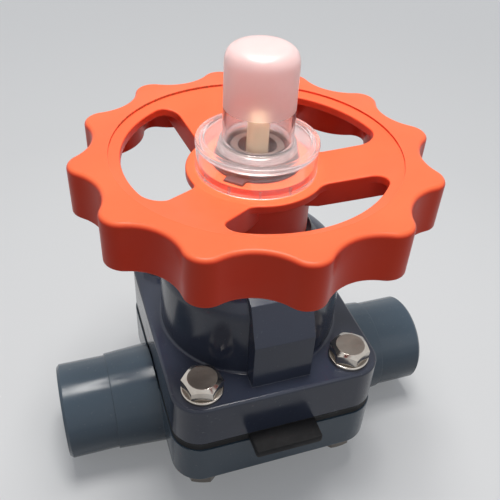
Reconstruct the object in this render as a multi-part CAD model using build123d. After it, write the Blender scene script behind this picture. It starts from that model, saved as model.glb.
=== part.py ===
from build123d import *
import os
from math import cos, hypot, radians, sin, sqrt, tan

# Hand-operated diaphragm valve with plain pipe ends, all lengths in millimetres.
# X runs along the pipe, Z up the spindle, and Z = 0 is the mounting face under the body.
# The valve is drawn closed: the diaphragm lies on the weir and the indicator is down.

# Pipe ends and flow passage
pipe_od = 50.0
pipe_wall = 4.6
valve_length = 203.0
spigot_chamfer = 1.5
socket_stop = 76.0
neck_od_at_stop = 51.6
neck_od_at_flange = 54.6
axis_height = 28.5

# Weir and bowl that the diaphragm closes on
bowl_radius_at_face = 30.0
weir_rise = 2.0
weir_foot_half = 26.0
weir_crest_half = 4.5
weir_core_half = 9.0
weir_core_length = 26.0
weir_core_depth = 22.0

# Flanges and bolting
flange_half_x = 52.1
flange_half_y = 58.8
flange_corner = 14.3
flange_face_rise = 21.4
body_flange_thick = 24.7
body_flange_overhang = 0.5
bonnet_flange_thick = 24.5
flange_edge_round = 1.6
bolt_edge_x = 15.0
bolt_edge_y = 12.6
bolt_d = 10.0
bolt_end_chamfer = 1.0
bolt_hole_clearance = 0.3
bolt_head_flats = 17.0
bolt_head_height = 6.4
bolt_overrun = 3.6
washer_od = 20.0
washer_thick = 2.0
washer_clearance = 0.25
washer_edge_chamfer = 0.5
nut_height = 8.0

# Foot with two threaded inserts
foot_length = 44.0
foot_width = 63.0
foot_corner = 9.0
insert_spacing = 44.5
insert_od = 12.0
insert_bore = 8.0
insert_depth = 13.0
insert_floor = 1.5
insert_wall_clearance = 0.02

# Diaphragm
diaphragm_rim_thick = 5.0
diaphragm_wall = 4.0
soft_gap = 0.3
stud_boss_radius = 9.0
stud_boss_height = 6.0
stud_head_radius = 6.5
stud_head_thick = 3.0
stud_head_cover = 2.2
stud_radius = 4.0
stud_length = 16.0
tab_root_half = 17.0
tab_end_half = 16.8
tab_reach = 11.2
tab_thick = 4.4

# Bonnet
tower_radius = 45.0
tower_wall = 4.5
tower_straight = 33.0
neck_radius = 29.0
neck_rise = 49.0
shoulder_run = 5.0
shoulder_fall = 3.0
bonnet_top_chamfer = 1.0
bonnet_rise = 55.1
clamp_ring_radius = 33.0
guide_block_half = 14.5
guide_block_edge = 7.1
guide_block_straight = 25.6
guide_block_slope = 0.445
guide_block_top_fall = 5.0
guide_block_cap = 6.0
guide_wall = 4.5
bearing_seat_rise = 40.1
bearing_seat_radius = 22.0
tower_foot_round = 1.5

# Handwheel
wheel_radius = 81.0
lobe_depth = 8.7
lobe_count = 12
lobe_tip_radius = 9.0
lobe_start_angle = -3.4
rim_top = 176.1
rim_height = 23.2
rim_wall = 3.0
rim_edge_round = 2.0
rim_band = 17.0
rim_step = 1.0
rim_shelf = 5.0
web_fold_inset = 0.6
web_inner_depth = 9.6
web_skin = 3.6
opening_inner = 31.4
opening_inner_corner = 5.5
opening_outer_corner = 7.0
opening_edge_round = 0.8
spoke_width = 27.0
spoke_turn = 1.2
spoke_depth = 11.5
spoke_wall = 3.2
hub_radius = 25.5
hub_bottom_depth = 39.6
hub_ring_radius = 24.6
hub_ring_height = 3.6
drive_flats = 24.0
drive_clearance = 0.05

# Threaded bush, spindle and indicator
bush_radius = 14.0
bush_collar_radius = 20.0
bush_collar_thick = 7.0
bush_tail = 4.0
bush_end_radius = 11.8
bush_end_length = 9.6
bush_thread_length = 22.0
bush_top_bore_radius = 8.6
running_clearance = 0.05
thrust_washer_thick = 1.7
thrust_washer_clearance = 0.4
seal_section = 2.4
seal_groove_width = 3.2
spindle_radius = 8.0
spindle_thread_length = 60.0
spindle_top_chamfer = 1.0
spindle_end_radius = 6.0
spindle_end_length = 20.0
indicator_radius = 4.9
indicator_length = 47.6
indicator_round = 1.4
indicator_stud_radius = 3.0
indicator_stud_length = 8.0
travel = 22.0

# Compressor
compressor_radius = 23.5
compressor_shell = 4.5
compressor_boss_radius = 12.5
compressor_rib_count = 8
compressor_rib_thick = 3.4
compressor_arm_height = 13.0
compressor_arm_rise = 7.6
compressor_rib_fall = 2.0
compressor_pin_radius = 2.5

# Lock ring, tab washer and clear cap
lock_washer_thick = 1.2
lock_washer_radius = 19.4
lock_tab_reach = 3.4
lock_tab_width = 9.0
lock_tab_angle = -134.0
lock_ring_height = 7.2
lock_ring_foot_radius = 18.8
lock_ring_foot_height = 1.2
lock_ring_foot_chamfer = 0.5
lock_ring_lip_radius = 15.5
lock_ring_lip = 0.9
lock_ring_cup_depth = 3.2
cap_radius = 27.2
cap_wall = 1.6
cap_skirt_height = 14.2
cap_seat_gap = 0.05
cap_shoulder_fall = 0.7
cap_edge_round = 1.0
cap_bead_width = 2.8
cap_bead_rise = 0.7
dome_radius = 15.5
dome_wall = 1.4
dome_height = 41.0
dome_edge_round = 7.0
dome_foot_round = 1.2
cap_rib_count = 12
cap_rib_width = 0.9
cap_rib_fall = 0.4

# Places and heights that follow from the sizes above
pipe_radius = pipe_od / 2
bore_radius = pipe_radius - pipe_wall
bolt_half_x = flange_half_x - bolt_edge_x
bolt_half_y = flange_half_y - bolt_edge_y
guide_block_reach = flange_half_y - guide_block_edge
face_z = axis_height + flange_face_rise
body_flange_bottom = face_z - body_flange_thick
bonnet_bottom = face_z + diaphragm_rim_thick
bonnet_flange_top = bonnet_bottom + bonnet_flange_thick
crest_z = axis_height + weir_rise
bowl_depth = face_z - crest_z
bowl_radius = (bowl_radius_at_face ** 2 + bowl_depth ** 2) / (2 * bowl_depth)
bowl_centre_z = crest_z + bowl_radius
bonnet_top = bonnet_flange_top + bonnet_rise
bearing_seat_z = bonnet_flange_top + bearing_seat_rise
diaphragm_low_radius = bowl_radius - soft_gap
diaphragm_top_radius = diaphragm_low_radius - diaphragm_wall
compressor_face_radius = diaphragm_top_radius - soft_gap
stud_boss_top = bowl_centre_z - diaphragm_top_radius + stud_boss_height
bush_collar_top = bearing_seat_z - thrust_washer_thick - soft_gap
bush_bottom = bush_collar_top - bush_collar_thick - bush_tail
wheel_valley_radius = wheel_radius - lobe_depth
rim_step_radius = wheel_radius - rim_band
opening_outer = rim_step_radius - rim_shelf
rim_bottom = rim_top - rim_height
web_top = rim_top - web_inner_depth
web_fold_radius = opening_inner - web_fold_inset
web_slope = (web_inner_depth - rim_step) / (rim_step_radius - web_fold_radius)
hub_bottom = rim_top - hub_bottom_depth
hub_top = web_top + hub_ring_height
compressor_top = bush_bottom - travel - 4 * soft_gap
spindle_thread_bottom = compressor_top
spindle_top = spindle_thread_bottom + spindle_thread_length
arm_half = guide_block_reach - guide_wall
arm_width = 2 * (guide_block_half - 2 * guide_wall - 2 * soft_gap)
arm_bottom = bonnet_bottom + compressor_arm_rise
lock_ring_bottom = hub_top + lock_washer_thick
lock_ring_top = lock_ring_bottom + lock_ring_height
bush_top = lock_ring_bottom + bush_end_length - lock_ring_cup_depth
cap_bottom = web_top + cap_seat_gap


def turned(points):
    """Solid of revolution about Z from (radius, height) points."""
    outline = Polyline(*points, close=True)
    return revolve(Plane.XZ * make_face(outline), Axis.Z)


def turned_about_pipe(points):
    """Solid of revolution about the pipe axis from (distance along it, radius) points."""
    outline = Polyline(*points, close=True)
    ring = revolve(Plane.XZ * make_face(outline), Axis.X)
    return Pos(0, 0, axis_height) * ring


def disc(radius, low, high):
    """Upright cylinder between two heights."""
    return extrude(Pos(0, 0, low) * Circle(radius), high - low)


def washer_ring(inner, outer, low, high):
    """Flat ring between two heights."""
    return disc(outer, low, high) - disc(inner, low, high)


def flange_plate(half_x, half_y, corner, low, high):
    """Rounded rectangular flange between two heights."""
    sketch = RectangleRounded(2 * half_x, 2 * half_y, corner)
    return extrude(Pos(0, 0, low) * sketch, high - low)


def bolt_places():
    """The four bolt centres, one near each flange corner."""
    return [(sx * bolt_half_x, sy * bolt_half_y) for sx in (-1, 1) for sy in (-1, 1)]


def at_bolts(piece):
    """Copies of one piece at the four bolts, as separate solids."""
    copies = [Pos(x, y, 0) * piece for x, y in bolt_places()]
    return Compound(children=copies)


def bolt_holes(low, high):
    """The four clearance holes between two heights."""
    hole = disc(bolt_d / 2 + bolt_hole_clearance, low, high)
    return [Pos(x, y, 0) * hole for x, y in bolt_places()]


def hexagon(flats, low, high, chamfered_end):
    """Hexagon bar with its corners turned off at one end, a corner facing the front."""
    corner_radius = flats / sqrt(3)
    bar = extrude(Pos(0, 0, low) * RegularPolygon(corner_radius, 6, rotation=30), high - low)
    rise = (corner_radius - flats / 2) * tan(radians(30))
    top = high if chamfered_end > 0 else low
    inner = top - chamfered_end * 2 * rise
    cone = turned([(0, top), (flats / 2 - rise, top), (flats / 2 + 3 * rise, inner), (0, inner)])
    rest_low = min(inner, low if chamfered_end > 0 else high)
    rest_high = max(inner, low if chamfered_end > 0 else high)
    return bar & (cone + disc(flats, rest_low, rest_high))


def flow_passage():
    """Straight bore with a weir across it, opened upward by a round bowl."""
    bore = Cylinder(bore_radius, valve_length + 2, rotation=(0, 90, 0))
    bore = Pos(0, 0, axis_height) * bore
    floor_z = axis_height - bore_radius - 1
    top_z = axis_height + bore_radius + 1
    wedge = Polyline(
        (-weir_foot_half, floor_z),
        (-weir_crest_half, crest_z),
        (-weir_crest_half, top_z),
        (weir_crest_half, top_z),
        (weir_crest_half, crest_z),
        (weir_foot_half, floor_z),
        close=True,
    )
    weir = extrude(Plane.XZ * make_face(wedge), bore_radius + 1, both=True)
    bowl = Pos(0, 0, bowl_centre_z) * Sphere(bowl_radius)
    return (bore - weir) + (bowl & disc(bowl_radius, 0, face_z + 1))


def weir_core():
    """Tapered hollow moulded into the underside of the weir."""
    top_z = weir_core_depth
    outline = Polyline(
        (-weir_core_half, -1),
        (-weir_core_half / 3, top_z),
        (weir_core_half / 3, top_z),
        (weir_core_half, -1),
        close=True,
    )
    return extrude(Plane.XZ * make_face(outline), weir_core_length / 2, both=True)


def build_body():
    half = valve_length / 2
    pipe = turned_about_pipe([
        (-half, 0),
        (-half, pipe_radius - spigot_chamfer),
        (-half + spigot_chamfer, pipe_radius),
        (-socket_stop, pipe_radius),
        (-socket_stop, neck_od_at_stop / 2),
        (-flange_half_x, neck_od_at_flange / 2),
        (flange_half_x, neck_od_at_flange / 2),
        (socket_stop, neck_od_at_stop / 2),
        (socket_stop, pipe_radius),
        (half - spigot_chamfer, pipe_radius),
        (half, pipe_radius - spigot_chamfer),
        (half, 0),
    ])
    flange = flange_plate(
        flange_half_x + body_flange_overhang,
        flange_half_y + body_flange_overhang,
        flange_corner + body_flange_overhang,
        body_flange_bottom,
        face_z,
    )
    flange = fillet(flange.edges().group_by(Axis.Z)[0], flange_edge_round)
    foot = extrude(RectangleRounded(foot_length, foot_width, foot_corner), body_flange_bottom + 1)
    body = flange + foot + pipe
    over_seat = Rectangle(2 * (flange_half_x + body_flange_overhang), 2 * neck_od_at_flange)
    body -= extrude(Pos(0, 0, face_z) * over_seat, neck_od_at_flange)
    body -= flow_passage()
    body -= weir_core()
    body -= bolt_holes(body_flange_bottom - 1, face_z + 1)
    for side in (-1, 1):
        pocket = disc(insert_od / 2 + insert_wall_clearance, -1, insert_depth + insert_wall_clearance)
        body -= Pos(0, side * insert_spacing / 2, 0) * pocket
    return body


def build_mounting_inserts():
    """Two brass bushes with a blind tapped hole, flush with the foot."""
    sleeve = disc(insert_od / 2, 0, insert_depth)
    sleeve -= disc(insert_bore / 2, -1, insert_depth - insert_floor)
    copies = [Pos(0, side * insert_spacing / 2, 0) * sleeve for side in (-1, 1)]
    return Compound(children=copies)


def build_diaphragm():
    """Rubber sheet with a bowl-shaped middle, a central boss and a tab at the front."""
    rim = flange_plate(flange_half_x, flange_half_y, flange_corner, face_z, bonnet_bottom)
    low_ball = Pos(0, 0, bowl_centre_z) * Sphere(diaphragm_low_radius)
    top_ball = Pos(0, 0, bowl_centre_z) * Sphere(diaphragm_top_radius)
    belly = low_ball & disc(bowl_radius, 0, face_z)
    boss = disc(stud_boss_radius, stud_boss_top - stud_boss_height - diaphragm_wall / 2, stud_boss_top)
    sheet = rim + belly - (top_ball & disc(bowl_radius, 0, bonnet_bottom + 1)) + boss
    head_top = stud_boss_top - stud_head_cover
    sheet -= disc(stud_head_radius + soft_gap, head_top - stud_head_thick - 2 * soft_gap, head_top)
    sheet -= disc(stud_radius + soft_gap, head_top - 1, stud_boss_top + 1)
    sheet -= bolt_holes(face_z - 1, bonnet_bottom + 1)
    front = -flange_half_y
    tab_outline = Polyline(
        (-tab_root_half, front + 1),
        (-tab_root_half, front),
        (-tab_end_half, front - tab_reach),
        (tab_end_half, front - tab_reach),
        (tab_root_half, front),
        (tab_root_half, front + 1),
        close=True,
    )
    tab = extrude(Pos(0, 0, face_z) * make_face(tab_outline), tab_thick)
    return sheet + tab


def guide_block(side):
    """Upright block on the tower in which one arm of the compressor runs."""
    low = bonnet_flange_top - 1
    knee = bonnet_flange_top + guide_block_straight
    shoulder = bonnet_flange_top + neck_rise - guide_block_top_fall
    shoulder_y = guide_block_reach - (shoulder - knee) * guide_block_slope
    outline = Polyline(
        (0, low),
        (guide_block_reach, low),
        (guide_block_reach, knee),
        (shoulder_y, shoulder),
        (neck_radius - 1, shoulder + guide_block_cap),
        (0, shoulder + guide_block_cap),
        close=True,
    )
    block = extrude(Plane.YZ * make_face(outline), guide_block_half, both=True)
    return block if side > 0 else mirror(block, Plane.XZ)


def guide_slots():
    """Slots, open to the diaphragm, that keep the compressor from turning."""
    width = arm_width + 2 * soft_gap
    low = bonnet_bottom - 1
    high = arm_bottom + compressor_arm_height + travel + 4 * soft_gap
    sketch = Rectangle(width, 2 * (guide_block_reach - guide_wall))
    return extrude(Pos(0, 0, low) * sketch, high - low)


def bonnet_cavity():
    """Room for the diaphragm, the compressor and the collar of the bush."""
    inner = tower_radius - tower_wall
    straight_top = bonnet_flange_top + tower_straight - tower_wall
    bore = bush_radius + running_clearance
    return turned([
        (0, bonnet_bottom - 1),
        (clamp_ring_radius, bonnet_bottom - 1),
        (clamp_ring_radius, bonnet_flange_top - tower_wall),
        (inner, bonnet_flange_top + tower_wall),
        (inner, straight_top),
        (bearing_seat_radius, bearing_seat_z),
        (bore, bearing_seat_z),
        (bore, bonnet_top + 1),
        (0, bonnet_top + 1),
    ])


def build_bonnet():
    plate = flange_plate(
        flange_half_x, flange_half_y, flange_corner, bonnet_bottom, bonnet_flange_top
    )
    plate = fillet(plate.edges().group_by(Axis.Z)[-1], flange_edge_round)
    knee = bonnet_flange_top + tower_straight
    neck = bonnet_flange_top + neck_rise
    profile = Polyline(
        (0, bonnet_bottom + 1),
        (tower_radius, bonnet_bottom + 1),
        (tower_radius, knee),
    )
    shoulder_end = (neck_radius + shoulder_run, neck - shoulder_fall)
    shoulder = TangentArc((tower_radius, knee), shoulder_end, tangent=(0, 1))
    cover = Polyline(
        shoulder_end,
        (neck_radius, neck),
        (neck_radius, bonnet_top - bonnet_top_chamfer),
        (neck_radius - bonnet_top_chamfer, bonnet_top),
        (0, bonnet_top),
        (0, bonnet_bottom + 1),
    )
    tower = revolve(Plane.XZ * make_face(profile + shoulder + cover), Axis.Z)
    bonnet = plate + tower + guide_block(-1) + guide_block(1)
    foot_edges = [
        edge for edge in bonnet.edges()
        if abs(edge.center().Z - bonnet_flange_top) < 0.01
        and edge.geom_type == GeomType.CIRCLE
        and abs(edge.radius - tower_radius) < 0.01
    ]
    bonnet = fillet(foot_edges, tower_foot_round)
    bonnet -= bonnet_cavity()
    bonnet -= guide_slots()
    bonnet -= bolt_holes(bonnet_bottom - 1, bonnet_flange_top + 1)
    return bonnet


def build_bonnet_bolts():
    """Hexagon bolts, with the thread as a plain shank."""
    head_low = bonnet_flange_top + washer_thick
    end = body_flange_bottom - washer_thick - nut_height - bolt_overrun
    shank = disc(bolt_d / 2, end, head_low)
    shank = chamfer(shank.edges().group_by(Axis.Z)[0], bolt_end_chamfer)
    head = hexagon(bolt_head_flats, head_low, head_low + bolt_head_height, 1)
    return at_bolts(head + shank)


def build_bolt_washers():
    ring = washer_ring(
        bolt_d / 2 + washer_clearance,
        washer_od / 2,
        bonnet_flange_top,
        bonnet_flange_top + washer_thick,
    )
    rolled_edge = ring.edges().group_by(Axis.Z)[-1].sort_by(SortBy.RADIUS)[-1]
    return at_bolts(chamfer(rolled_edge, washer_edge_chamfer))


def build_nut_washers():
    ring = washer_ring(
        bolt_d / 2 + washer_clearance,
        washer_od / 2,
        body_flange_bottom - washer_thick,
        body_flange_bottom,
    )
    return at_bolts(ring)


def build_body_nuts():
    top = body_flange_bottom - washer_thick
    nut = hexagon(bolt_head_flats, top - nut_height, top, -1)
    nut -= disc(bolt_d / 2 + running_clearance, top - nut_height - 1, top + 1)
    return at_bolts(nut)


def build_lower_thrust_washer():
    return washer_ring(
        bush_radius + thrust_washer_clearance,
        bush_collar_radius,
        bearing_seat_z - thrust_washer_thick,
        bearing_seat_z,
    )


def build_upper_thrust_washer():
    return washer_ring(
        bush_radius + thrust_washer_clearance,
        hub_radius - 1,
        bonnet_top + soft_gap,
        hub_bottom,
    )


def lobed_outline(inset):
    """Handwheel outline, moved inward by an inset: round tips joined by hollow arcs."""
    tip = lobe_tip_radius - inset
    valley_at = wheel_valley_radius - inset
    tip_centre = wheel_radius - lobe_tip_radius
    step = radians(360 / lobe_count)
    along = 2 * tip_centre * cos(step / 2)
    hollow = (tip ** 2 - tip_centre ** 2 - valley_at ** 2 + along * valley_at)
    hollow /= 2 * valley_at - along - 2 * tip
    hollow_centre = valley_at + hollow
    gap_x = hollow_centre * cos(step / 2) - tip_centre
    gap_y = hollow_centre * sin(step / 2)
    reach = tip / hypot(gap_x, gap_y)
    join_x = tip_centre + gap_x * reach
    join_y = gap_y * reach
    tip_arc = ThreePointArc((join_x, -join_y), (tip_centre + tip, 0), (join_x, join_y))
    next_x = join_x * cos(step) + join_y * sin(step)
    next_y = join_x * sin(step) - join_y * cos(step)
    low_point = (valley_at * cos(step / 2), valley_at * sin(step / 2))
    hollow_arc = ThreePointArc((join_x, join_y), low_point, (next_x, next_y))
    arcs = Curve()
    for lobe in range(lobe_count):
        turn = Rot(0, 0, lobe_start_angle + lobe * 360 / lobe_count)
        arcs += turn * tip_arc
        arcs += turn * hollow_arc
    return make_face(arcs)


def spoke_angles():
    """The three spokes, each nearly in line with a hollow of the rim."""
    first = lobe_start_angle - 180 / lobe_count + spoke_turn
    return [first + 120 * k for k in range(3)]


def from_axis(point):
    """Distance of a point from the spindle axis."""
    return hypot(point.X, point.Y)


def wheel_openings(low, high):
    """The three openings between the spokes, as one cutting tool."""
    area = Rot(0, 0, spoke_angles()[0]) * (Circle(opening_outer) - Circle(opening_inner))
    for angle in spoke_angles():
        bar = Pos(opening_outer, 0) * Rectangle(2 * opening_outer, spoke_width)
        area -= Rot(0, 0, angle) * bar
    middle = (opening_inner + opening_outer) / 2
    area = fillet([v for v in area.vertices() if from_axis(v) < middle], opening_inner_corner)
    area = fillet([v for v in area.vertices() if from_axis(v) > opening_outer - 0.01], opening_outer_corner)
    return extrude(Pos(0, 0, low) * area, high - low)


def web_height(radius):
    """Height of the dished web at a radius, level around the hub."""
    return max(web_top, rim_top - rim_step - web_slope * (rim_step_radius - radius))


def is_opening_top_edge(edge):
    """True for the edges of the openings that lie in the dished top of the web."""
    middle = edge.position_at(0.5)
    radius = from_axis(middle)
    on_web = abs(middle.Z - web_height(radius)) < 0.05
    return on_web and edge.geom_type != GeomType.LINE and opening_inner - 0.1 < radius < opening_outer + 0.1


def below_web(depth):
    """Turned block that reaches up to a depth under the top of the web and the rim's step."""
    low = rim_bottom - 1
    return turned([
        (0, low),
        (wheel_radius, low),
        (wheel_radius, web_height(rim_step_radius) - depth),
        (rim_step_radius, web_height(rim_step_radius) - depth),
        (web_fold_radius, web_top - depth),
        (0, web_top - depth),
    ])


def spoke_walls():
    """Two side walls under each spoke, from the hub to the skin of the rim."""
    plan = Sketch()
    for angle in spoke_angles():
        for side in (-1, 1):
            across = side * (spoke_width - spoke_wall) / 2
            plan += Rot(0, 0, angle) * Pos(wheel_radius / 2, across) * Rectangle(wheel_radius, spoke_wall)
    plan = plan & lobed_outline(rim_wall / 2)
    layer = below_web(web_skin / 2) - below_web(spoke_depth)
    return layer & extrude(Pos(0, 0, rim_bottom) * plan, rim_height)


def build_handwheel():
    """Lobed hollow rim, dished web with three spokes, and a hub with four drive flats."""
    wheel = extrude(Pos(0, 0, rim_bottom) * lobed_outline(0), rim_height)
    wheel = fillet(wheel.edges().group_by(Axis.Z)[-1], rim_edge_round)
    wheel = chamfer(wheel.edges().group_by(Axis.Z)[0], rim_edge_round / 2)
    wheel -= Rot(0, 0, spoke_angles()[0]) * turned([
        (0, rim_top + 1),
        (rim_step_radius, rim_top + 1),
        (rim_step_radius, web_height(rim_step_radius)),
        (web_fold_radius, web_top),
        (0, web_top),
    ])
    inside = extrude(Pos(0, 0, rim_bottom - 1) * lobed_outline(rim_wall), rim_height)
    wheel -= inside & below_web(web_skin)
    wheel += spoke_walls()
    wheel -= wheel_openings(rim_bottom, rim_top)
    wheel = fillet([edge for edge in wheel.edges() if is_opening_top_edge(edge)], opening_edge_round)
    wheel += disc(hub_radius, hub_bottom, web_top)
    wheel += disc(hub_ring_radius, web_top - 1, hub_top)
    wheel -= drive_shape(drive_clearance, hub_bottom - 1, hub_top + 1)
    return wheel


def drive_shape(clearance, low, high):
    """Round bar with four flats, on the bush and, with a clearance, in the hub."""
    width = drive_flats + 2 * clearance
    section = Rectangle(width, width) & Circle(bush_radius + clearance)
    return extrude(Pos(0, 0, low) * section, high - low)


def build_stem_bush():
    """Threaded bush that the handwheel turns: collar below, square drive, threaded end."""
    bore = spindle_radius + running_clearance
    thread_top = bush_bottom + bush_thread_length
    collar_bottom = bush_bottom + bush_tail
    bush = disc(bush_radius, bush_bottom, hub_bottom)
    bush += washer_ring(bush_radius - 1, bush_collar_radius, collar_bottom, bush_collar_top)
    bush += drive_shape(0, hub_bottom, hub_top)
    bush += disc(bush_end_radius, hub_top, bush_top)
    bush -= disc(bore, bush_bottom - 1, thread_top)
    bush -= disc(bush_top_bore_radius, thread_top - 0.01, bush_top + 1)
    groove_mid = (bearing_seat_z + bonnet_top) / 2
    bush -= washer_ring(
        bush_radius - seal_section - running_clearance,
        bush_radius + 1,
        groove_mid - seal_groove_width / 2,
        groove_mid + seal_groove_width / 2,
    )
    return bush


def build_bush_seal():
    """O-ring in the groove of the bush."""
    section = seal_section / 2 - running_clearance / 2
    centre = bush_radius - seal_section / 2
    return Pos(0, 0, (bearing_seat_z + bonnet_top) / 2) * Torus(centre, section)


def build_lock_washer():
    """Flat washer with one tab, under the lock ring."""
    ring = washer_ring(bush_end_radius + washer_clearance, lock_washer_radius, hub_top, lock_ring_bottom)
    reach = lock_washer_radius + lock_tab_reach
    tab = Pos(reach / 2, 0) * Rectangle(reach, lock_tab_width)
    tab = fillet(tab.vertices().sort_by(Axis.X)[-2:], lock_tab_width / 4)
    tab = Rot(0, 0, lock_tab_angle) * tab - Circle(lock_washer_radius - 1)
    return ring + extrude(Pos(0, 0, hub_top) * tab, lock_washer_thick)


def build_lock_ring():
    """Bright conical ring nut that clamps the wheel on the bush."""
    inner = bush_end_radius + running_clearance
    cup_floor = lock_ring_top - lock_ring_cup_depth
    return turned([
        (inner, lock_ring_bottom),
        (lock_ring_foot_radius - lock_ring_foot_chamfer, lock_ring_bottom),
        (lock_ring_foot_radius, lock_ring_bottom + lock_ring_foot_chamfer),
        (lock_ring_foot_radius, lock_ring_bottom + lock_ring_foot_height),
        (lock_ring_lip_radius, lock_ring_top),
        (lock_ring_lip_radius - lock_ring_lip, lock_ring_top),
        (lock_ring_lip_radius - 2 * lock_ring_lip, cup_floor),
        (inner, cup_floor),
    ])


def circle_edge(solid, radius, height):
    """The round edge of a solid at a radius and a height."""
    circles = solid.edges().filter_by(GeomType.CIRCLE)
    return circles.filter_by(lambda edge: abs(edge.radius - radius) + abs(edge.center().Z - height) < 0.01)


def build_indicator_cap():
    """Clear cap: a low skirt on the wheel web, a shoulder, and a tall dome over the indicator."""
    skirt_top = cap_bottom + cap_skirt_height
    dome_top = skirt_top + dome_height
    skirt_inner = cap_radius - cap_wall
    bead_top = skirt_top - cap_shoulder_fall + cap_bead_rise
    bead_inner = cap_radius - cap_bead_width
    outer = turned([
        (0, cap_bottom),
        (cap_radius, cap_bottom),
        (cap_radius, bead_top),
        (bead_inner, bead_top),
        (bead_inner - cap_bead_rise, skirt_top - cap_shoulder_fall + cap_bead_rise / 4),
        (dome_radius, skirt_top),
        (dome_radius, dome_top),
        (0, dome_top),
    ])
    edges = outer.edges().filter_by(GeomType.CIRCLE)
    outer = fillet(edges.group_by(Axis.Z)[-1], dome_edge_round)
    outer = fillet(circle_edge(outer, cap_radius, bead_top), cap_edge_round)
    outer = fillet(circle_edge(outer, dome_radius, skirt_top), dome_foot_round)
    inner = turned([
        (0, cap_bottom - 1),
        (skirt_inner, cap_bottom - 1),
        (skirt_inner, skirt_top - cap_shoulder_fall - cap_wall),
        (dome_radius - dome_wall, skirt_top - cap_wall),
        (dome_radius - dome_wall, dome_top - dome_wall),
        (0, dome_top - dome_wall),
    ])
    inner_edges = inner.edges().filter_by(GeomType.CIRCLE)
    inner = fillet(inner_edges.group_by(Axis.Z)[-1], dome_edge_round - dome_wall)
    cap = outer - inner
    rib_depth = skirt_inner - hub_ring_radius - soft_gap / 2
    rib_height = hub_ring_height - cap_rib_fall
    for rib in range(cap_rib_count):
        bar = Box(
            rib_depth + cap_wall / 2, cap_rib_width, rib_height, align=(Align.MAX, Align.CENTER, Align.MIN)
        )
        bar = Pos(skirt_inner + cap_wall / 2, 0, cap_bottom) * bar
        cap += Rot(0, 0, (rib + 0.5) * 360 / cap_rib_count) * bar
    return cap


def build_spindle():
    """Threaded spindle: plain end in the compressor, tapped top for the indicator."""
    rod = disc(spindle_radius, spindle_thread_bottom, spindle_top)
    rod = chamfer(rod.edges().group_by(Axis.Z)[-1], spindle_top_chamfer)
    rod += disc(spindle_end_radius, spindle_thread_bottom - spindle_end_length, spindle_thread_bottom)
    rod -= disc(
        indicator_stud_radius + running_clearance, spindle_top - indicator_stud_length - 1, spindle_top + 1
    )
    return rod - compressor_pin_hole()


def build_position_indicator():
    """Ivory pin that shows through the cap how far the spindle is up."""
    top = spindle_top + indicator_length
    pin = disc(indicator_radius, spindle_top, top)
    pin = fillet(pin.edges().group_by(Axis.Z)[-1], indicator_round)
    return pin + disc(indicator_stud_radius, spindle_top - indicator_stud_length, spindle_top)


def compressor_pin_hole():
    """Cross hole for the pin through the compressor boss and the spindle end."""
    height = spindle_thread_bottom - spindle_end_length / 2
    radius = compressor_pin_radius + running_clearance / 2
    return Pos(0, 0, height) * Cylinder(radius, 4 * compressor_boss_radius, rotation=(0, 90, 0))


def build_compressor_pin():
    height = spindle_thread_bottom - spindle_end_length / 2
    length = 2 * compressor_boss_radius - 1
    return Pos(0, 0, height) * Cylinder(compressor_pin_radius, length, rotation=(0, 90, 0))


def build_compressor():
    """Presses the diaphragm on the weir: domed shell, ribs, boss and two guide arms."""
    face_ball = Pos(0, 0, bowl_centre_z) * Sphere(compressor_face_radius)
    back_ball = Pos(0, 0, bowl_centre_z) * Sphere(compressor_face_radius - compressor_shell)
    edge_z = bowl_centre_z - sqrt(compressor_face_radius ** 2 - compressor_radius ** 2)
    shell_top = edge_z + compressor_shell
    shell = (face_ball - back_ball) & disc(compressor_radius, 0, shell_top)
    boss = disc(compressor_boss_radius, stud_boss_top, compressor_top) & face_ball
    boss += disc(compressor_boss_radius, edge_z, compressor_top)
    for rib in range(compressor_rib_count):
        outline = Polyline(
            (compressor_boss_radius - 1, crest_z),
            (compressor_radius, crest_z),
            (compressor_radius, shell_top),
            (compressor_boss_radius - 1, arm_bottom + compressor_arm_height - compressor_rib_fall),
            close=True,
        )
        wall = extrude(Plane.XZ * make_face(outline), compressor_rib_thick / 2, both=True)
        turn = Rot(0, 0, (rib + 0.5) * 360 / compressor_rib_count)
        boss += turn * (wall & (face_ball + disc(compressor_radius + 1, bowl_centre_z, compressor_top)))
    arm = Pos(0, 0, arm_bottom) * Rectangle(arm_width, 2 * (arm_half - soft_gap))
    solid = shell + boss + extrude(arm, compressor_arm_height)
    solid -= disc(stud_boss_radius + 2 * soft_gap, 0, stud_boss_top + soft_gap)
    solid -= disc(stud_radius + running_clearance, 0, stud_boss_top + stud_length)
    end_room = spindle_end_radius + running_clearance
    end_floor = spindle_thread_bottom - spindle_end_length - running_clearance
    solid -= disc(end_room, end_floor, compressor_top + 1)
    return solid - compressor_pin_hole()


def build_diaphragm_stud():
    """Steel stud whose head is moulded into the diaphragm."""
    head_top = stud_boss_top - stud_head_cover - soft_gap
    head = disc(stud_head_radius, head_top - stud_head_thick, head_top)
    return head + disc(stud_radius, head_top - 1, head_top + stud_length)


nodes = {
    "valve_body": build_body(),
    "mounting_inserts": build_mounting_inserts(),
    "diaphragm": build_diaphragm(),
    "bonnet": build_bonnet(),
    "bonnet_bolts": build_bonnet_bolts(),
    "bolt_washers": build_bolt_washers(),
    "nut_washers": build_nut_washers(),
    "body_nuts": build_body_nuts(),
    "lower_thrust_washer": build_lower_thrust_washer(),
    "upper_thrust_washer": build_upper_thrust_washer(),
    "handwheel": build_handwheel(),
    "stem_bush": build_stem_bush(),
    "bush_seal": build_bush_seal(),
    "lock_washer": build_lock_washer(),
    "lock_ring": build_lock_ring(),
    "indicator_cap": build_indicator_cap(),
    "spindle": build_spindle(),
    "position_indicator": build_position_indicator(),
    "compressor": build_compressor(),
    "compressor_pin": build_compressor_pin(),
    "diaphragm_stud": build_diaphragm_stud(),
}

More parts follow.
